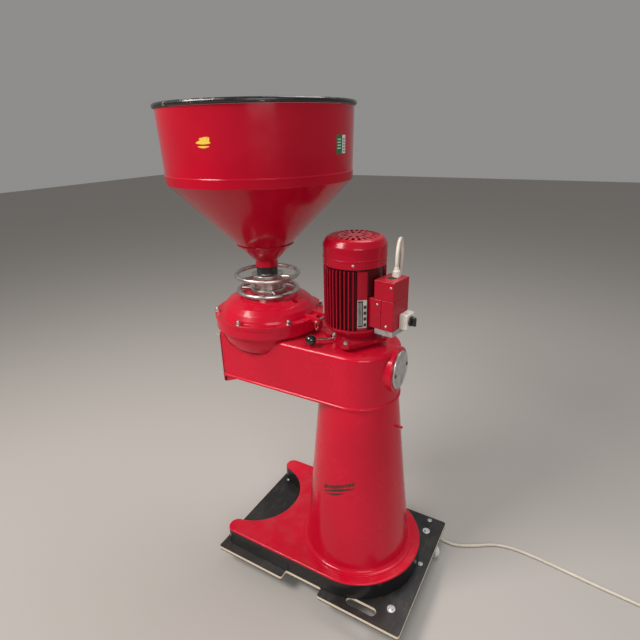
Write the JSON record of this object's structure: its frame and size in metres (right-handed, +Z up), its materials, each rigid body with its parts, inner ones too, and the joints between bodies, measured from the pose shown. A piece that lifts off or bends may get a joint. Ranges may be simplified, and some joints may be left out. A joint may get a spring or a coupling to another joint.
{
  "type": "disc mill",
  "caption": "Belt-driven upright disc mill with a conical hopper, handwheels and flanged motor on a column, mounted on a castor board.",
  "frame": {"origin": "on the floor, under the centre of the machine's box without its mains lead", "axes": "+Z up; -Y the front, where the grinding head and hopper stand; +X the machine's right side seen from behind the front, with the board's hand slot"},
  "size_m": [0.5964, 1.6681, 1.5252],
  "materials": {
    "red_enamel": "glossy red enamel on castings and sheet",
    "black_ply": "black film-faced plywood",
    "steel": "turned and polished steel",
    "cast_iron": "machined grey cast iron",
    "aluminium": "turned aluminium plate",
    "zinc": "zinc-plated pressed steel",
    "rubber": "black rubber",
    "black_enamel": "worn black enamel",
    "bakelite": "polished black phenolic",
    "ivory_plastic": "off-white moulded plastic",
    "pale_plastic": "white castor nylon",
    "lead_white": "off-white PVC sheath",
    "knob_black": "black moulded knob"
  },
  "bodies": {
    "frame": {"board": "black_ply", "foot": "red_enamel", "column": "red_enamel", "column_peg": "red_enamel", "arm_housing": "red_enamel", "arm_front_plate": "red_enamel", "rear_cover": "aluminium", "grinding_chamber": "red_enamel", "product_chute": "steel", "bearing_housing": "cast_iron", "lower_bearing": "steel", "upper_bearing": "steel", "hinge_pin": "steel", "drive_belt": "rubber", "mains_lead": "lead_white", "lead_coil": "lead_white", "mains_plug": "ivory_plastic"},
    "cover": {"head_cover": "red_enamel", "cap_nut_1": "steel", "cap_nut_2": "steel", "cap_nut_3": "steel", "cap_nut_4": "steel", "cap_nut_5": "steel", "cap_nut_6": "steel"},
    "lock_wheel": {"lock_wheel": "steel"},
    "adjusting_wheel": {"adjusting_wheel": "steel"},
    "feed": {"feed_tube": "steel", "fixed_disc": "cast_iron", "feed_collar": "rubber"},
    "hopper": {"hopper_funnel": "red_enamel", "hopper_shell": "red_enamel", "hopper_rim": "black_enamel"},
    "spindle": {"spindle": "steel", "rotating_disc": "cast_iron", "driven_pulley": "cast_iron"},
    "motor": {"motor_housing": "red_enamel", "motor_flange": "red_enamel", "fan_cowl": "red_enamel", "terminal_box": "red_enamel", "control_box": "red_enamel", "box_tray": "zinc", "switch_box": "ivory_plastic", "cable_gland": "ivory_plastic"},
    "rotor": {"motor_rotor": "steel", "motor_pulley": "cast_iron", "motor_fan": "knob_black"},
    "clamp": {"clamp_lever": "steel", "clamp_ball": "bakelite"},
    "switch_knob": {"switch_knob": "knob_black"},
    "pull_ring": {"pull_ring": "steel"},
    "castor_rear_right": {"castor_fork_rear_right": "zinc"},
    "wheel_rear_right": {"castor_wheel_rear_right": "pale_plastic"},
    "castor_rear_left": {"castor_fork_rear_left": "zinc"},
    "wheel_rear_left": {"castor_wheel_rear_left": "pale_plastic"},
    "castor_front_right": {"castor_fork_front_right": "zinc"},
    "wheel_front_right": {"castor_wheel_front_right": "pale_plastic"},
    "castor_front_left": {"castor_fork_front_left": "zinc"},
    "wheel_front_left": {"castor_wheel_front_left": "pale_plastic"}
  },
  "joints": [
    {"name": "motor_slide", "type": "slide", "parent": "frame", "child": "motor", "axis": [0, 1, 0], "range_m": [-0.008, 0]},
    {"name": "rotor_spin", "type": "hinge", "parent": "motor", "child": "rotor", "pos_m": [0, 0.1502, 1.04], "axis": [0, 0, 1], "continuous": true},
    {"name": "spindle_spin", "type": "hinge", "parent": "frame", "child": "spindle", "pos_m": [0, -0.1516, 0.8], "axis": [0, 0, 1], "continuous": true},
    {"name": "cover_hinge", "type": "hinge", "parent": "frame", "child": "cover", "pos_m": [0, 0.0384, 0.925], "axis": [-1, 0, 0], "range_deg": [0, 20]},
    {"name": "lock_turn", "type": "hinge", "parent": "cover", "child": "lock_wheel", "pos_m": [0, -0.1516, 0.995], "axis": [0, 0, 1], "range_deg": [-60, 60]},
    {"name": "grind_setting", "type": "hinge", "parent": "cover", "child": "adjusting_wheel", "pos_m": [0, -0.1516, 1.04], "axis": [0, 0, 1], "range_deg": [-180, 180]},
    {"name": "disc_gap", "type": "slide", "parent": "cover", "child": "feed", "axis": [0, 0, 1], "range_m": [-0.001, 0.001]},
    {"name": "hopper_lift", "type": "slide", "parent": "feed", "child": "hopper", "axis": [0, 0, 1], "range_m": [0, 0.06]},
    {"name": "clamp_turn", "type": "hinge", "parent": "motor", "child": "clamp", "pos_m": [0.048, 0.1104, 0.9], "axis": [0, 0, 1], "range_deg": [-35, 35]},
    {"name": "switch_turn", "type": "hinge", "parent": "motor", "child": "switch_knob", "pos_m": [0.01305, 0.32531, 0.9745], "axis": [0.1564, 0.9877, 0], "range_deg": [0, 90]},
    {"name": "ring_swing", "type": "hinge", "parent": "frame", "child": "pull_ring", "pos_m": [0.0284, 0.0384, 0.925], "axis": [1, 0, 0], "range_deg": [-25, 35]},
    {"name": "swivel_rear_right", "type": "hinge", "parent": "frame", "child": "castor_rear_right", "pos_m": [0.172, 0.3644, 0.06], "axis": [0, 0, 1], "continuous": true},
    {"name": "roll_rear_right", "type": "hinge", "parent": "castor_rear_right", "child": "wheel_rear_right", "pos_m": [0.13629, 0.3514, 0.027], "axis": [-0.342, 0.9397, 0], "continuous": true},
    {"name": "swivel_rear_left", "type": "hinge", "parent": "frame", "child": "castor_rear_left", "pos_m": [-0.172, 0.3644, 0.06], "axis": [0, 0, 1], "continuous": true},
    {"name": "roll_rear_left", "type": "hinge", "parent": "castor_rear_left", "child": "wheel_rear_left", "pos_m": [-0.15416, 0.39795, 0.027], "axis": [0.8829, -0.4695, 0], "continuous": true},
    {"name": "swivel_front_right", "type": "hinge", "parent": "frame", "child": "castor_front_right", "pos_m": [0.172, -0.2306, 0.06], "axis": [0, 0, 1], "continuous": true},
    {"name": "roll_front_right", "type": "hinge", "parent": "castor_front_right", "child": "wheel_front_right", "pos_m": [0.13909, -0.2116, 0.027], "axis": [0.5, 0.866, 0], "continuous": true},
    {"name": "swivel_front_left", "type": "hinge", "parent": "frame", "child": "castor_front_left", "pos_m": [-0.172, -0.2306, 0.06], "axis": [0, 0, 1], "continuous": true},
    {"name": "roll_front_left", "type": "hinge", "parent": "castor_front_left", "child": "wheel_front_left", "pos_m": [-0.14087, -0.2088, 0.027], "axis": [0.5736, -0.8192, 0], "continuous": true}
  ],
  "couplings": [
    {"joint": "spindle_spin", "follows": "rotor_spin", "ratio": 0.64286},
    {"joint": "disc_gap", "follows": "grind_setting", "m_per_rad": 0.00031831}
  ]
}
